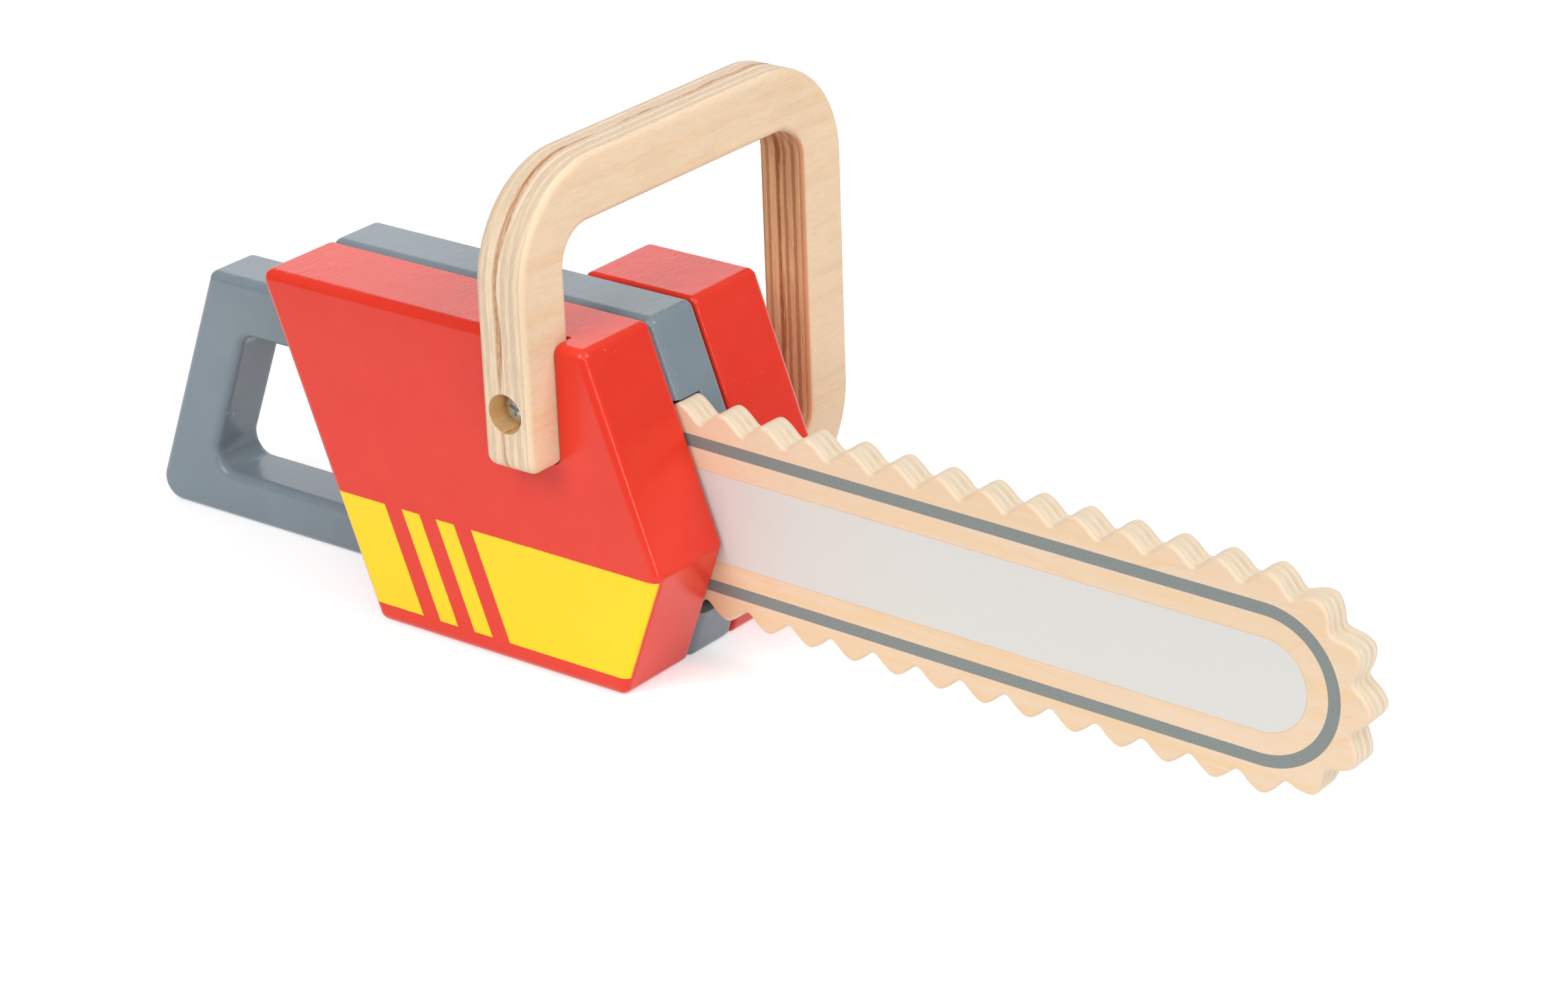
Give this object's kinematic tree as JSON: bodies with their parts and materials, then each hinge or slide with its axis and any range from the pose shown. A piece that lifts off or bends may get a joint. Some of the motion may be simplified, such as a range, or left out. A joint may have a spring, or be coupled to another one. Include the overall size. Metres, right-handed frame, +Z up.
{
  "type": "wooden toy chainsaw",
  "caption": "Pretend-play wooden chainsaw: painted sandwich body, rear hand loop, plywood wrap handle and a flat plywood blade with rounded wave teeth.",
  "frame": {"origin": "middle of the body's flat bottom, on the middle board", "axes": "+X along the blade, +Y to the saw's left, +Z up"},
  "size_m": [0.4426, 0.1496, 0.156],
  "materials": {
    "red_paint": "satin red lacquer on wood",
    "grey_paint": "satin grey lacquer on wood",
    "birch_ply": "sanded birch plywood, clear matt",
    "beech": "bare turned beech",
    "zinc": "bright zinc plate"
  },
  "bodies": {
    "root": {"center_board": "grey_paint", "right_block": "red_paint", "left_block": "red_paint", "saw_blade": "birch_ply", "front_handle": "birch_ply", "right_leg_screw": "zinc", "lower_bar_screw": "zinc", "upper_rear_dowel": "beech", "lower_rear_dowel": "beech", "upper_front_dowel": "beech", "lower_front_dowel": "beech", "blade_dowel_rear": "beech", "blade_dowel_front": "beech"}
  },
  "joints": []
}
